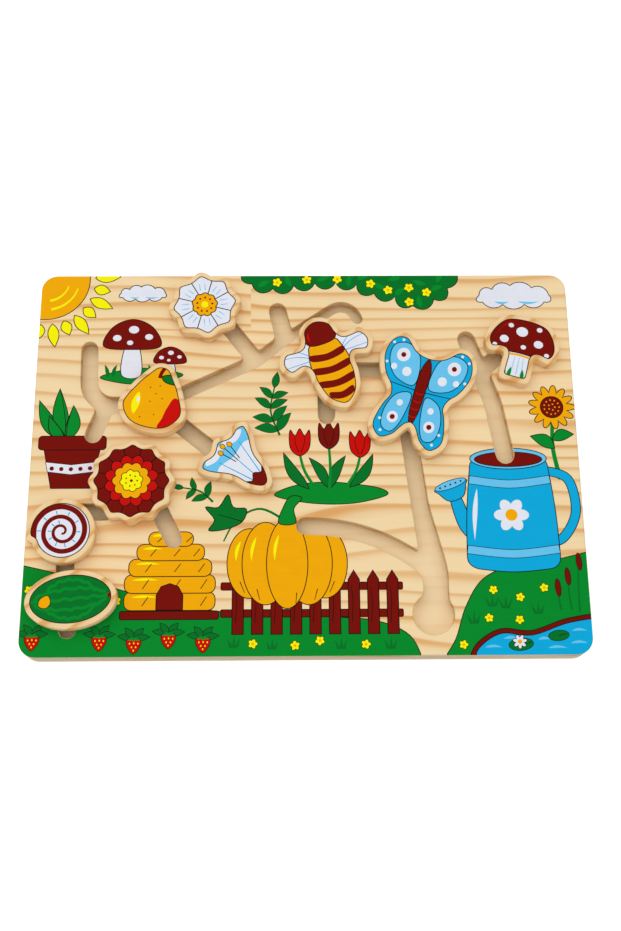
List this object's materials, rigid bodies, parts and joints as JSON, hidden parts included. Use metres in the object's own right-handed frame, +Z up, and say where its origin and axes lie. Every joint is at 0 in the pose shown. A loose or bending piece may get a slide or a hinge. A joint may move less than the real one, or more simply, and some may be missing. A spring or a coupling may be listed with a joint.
{
  "type": "sliding maze puzzle",
  "caption": "Rectangular wooden toy board with routed grooves in which flat cut-out sliders on pegs are pushed and turned; captive feet keep the sliders in the board.",
  "frame": {"origin": "middle of the board's underside", "axes": "+X along the board to the player's right, +Y away from the player, +Z up out of the printed face"},
  "size_m": [0.3, 0.219, 0.0226],
  "materials": {
    "pine_face": "sanded, thin clear lacquer, screen-printed",
    "pine_core": "sanded",
    "dowel": "sanded",
    "print_1": "printed pine with bare rounded rim",
    "print_2": "printed pine with bare rounded rim",
    "print_3": "printed pine with bare rounded rim",
    "print_4": "printed pine with bare rounded rim",
    "print_5": "printed pine with bare rounded rim",
    "print_6": "printed pine with bare rounded rim",
    "print_7": "printed pine with bare rounded rim",
    "print_8": "printed pine with bare rounded rim",
    "print_9": "printed pine with bare rounded rim"
  },
  "bodies": {
    "board": {"back_plate": "pine_core", "channel_plate": "pine_core", "top_plate": "pine_face"},
    "carriage_1": {"slider_1_foot": "dowel", "slider_1_peg": "dowel"},
    "head_1": {"slider_1_head": "print_1"},
    "carriage_2": {"slider_2_foot": "dowel", "slider_2_peg": "dowel"},
    "head_2": {"slider_2_head": "print_2"},
    "carriage_3": {"slider_3_foot": "dowel", "slider_3_peg": "dowel"},
    "head_3": {"slider_3_head": "print_3"},
    "carriage_4": {"slider_4_foot": "dowel", "slider_4_peg": "dowel"},
    "head_4": {"slider_4_head": "print_4"},
    "carriage_5": {"slider_5_foot": "dowel", "slider_5_peg": "dowel"},
    "head_5": {"slider_5_head": "print_5"},
    "carriage_6": {"slider_6_foot": "dowel", "slider_6_peg": "dowel"},
    "head_6": {"slider_6_head": "print_6"},
    "carriage_7": {"slider_7_foot": "dowel", "slider_7_peg": "dowel"},
    "head_7": {"slider_7_head": "print_7"},
    "carriage_8": {"slider_8_foot": "dowel", "slider_8_peg": "dowel"},
    "head_8": {"slider_8_head": "print_8"},
    "carriage_9": {"slider_9_foot": "dowel", "slider_9_peg": "dowel"},
    "head_9": {"slider_9_head": "print_9"}
  },
  "joints": [
    {"name": "slide_1", "type": "slide", "parent": "board", "child": "carriage_1", "axis": [0.7436, -0.6687, 0], "range_m": [0, 0.008]},
    {"name": "turn_1", "type": "hinge", "parent": "carriage_1", "child": "head_1", "pos_m": [-0.0555, 0.0882, 0.0154], "axis": [0, 0, 1], "continuous": true},
    {"name": "slide_2", "type": "slide", "parent": "board", "child": "carriage_2", "axis": [0.9033, 0.429, 0], "range_m": [0, 0.014]},
    {"name": "turn_2", "type": "hinge", "parent": "carriage_2", "child": "head_2", "pos_m": [-0.08299, 0.03, 0.0154], "axis": [0, 0, 1], "continuous": true},
    {"name": "slide_3", "type": "slide", "parent": "board", "child": "carriage_3", "axis": [1, 0, 0], "range_m": [-0.0005, 0.004]},
    {"name": "turn_3", "type": "hinge", "parent": "carriage_3", "child": "head_3", "pos_m": [-0.09341, -0.0166, 0.0154], "axis": [0, 0, 1], "continuous": true},
    {"name": "slide_4", "type": "slide", "parent": "board", "child": "carriage_4", "axis": [-0.0842, 0.9964, 0], "range_m": [0, 0.0015]},
    {"name": "turn_4", "type": "hinge", "parent": "carriage_4", "child": "head_4", "pos_m": [-0.12923, -0.04408, 0.0154], "axis": [0, 0, 1], "continuous": true},
    {"name": "slide_5", "type": "slide", "parent": "board", "child": "carriage_5", "axis": [0.0842, -0.9964, 0], "range_m": [0, 0.015]},
    {"name": "turn_5", "type": "hinge", "parent": "carriage_5", "child": "head_5", "pos_m": [-0.12623, -0.07954, 0.0154], "axis": [0, 0, 1], "range_deg": [-12, 3]},
    {"name": "slide_6", "type": "slide", "parent": "board", "child": "carriage_6", "axis": [-0.7702, 0.6378, 0], "range_m": [0, 0.006]},
    {"name": "turn_6", "type": "hinge", "parent": "carriage_6", "child": "head_6", "pos_m": [-0.03821, -0.0071, 0.0154], "axis": [0, 0, 1], "range_deg": [-20, 20]},
    {"name": "slide_7", "type": "slide", "parent": "board", "child": "carriage_7", "axis": [0, -1, 0], "range_m": [0, 0.0278]},
    {"name": "turn_7", "type": "hinge", "parent": "carriage_7", "child": "head_7", "pos_m": [0.01189, 0.05101, 0.0154], "axis": [0, 0, 1], "range_deg": [-6, 6]},
    {"name": "slide_8", "type": "slide", "parent": "board", "child": "carriage_8", "axis": [0.1187, -0.9929, 0], "range_m": [0, 0.059]},
    {"name": "turn_8", "type": "hinge", "parent": "carriage_8", "child": "head_8", "pos_m": [0.05493, 0.03013, 0.0154], "axis": [0, 0, 1], "range_deg": [-4, 4]},
    {"name": "slide_9", "type": "slide", "parent": "board", "child": "carriage_9", "axis": [-0.7584, -0.6518, 0], "range_m": [0, 0.004]},
    {"name": "turn_9", "type": "hinge", "parent": "carriage_9", "child": "head_9", "pos_m": [0.11689, 0.06569, 0.0154], "axis": [0, 0, 1], "range_deg": [-20, 20]}
  ]
}
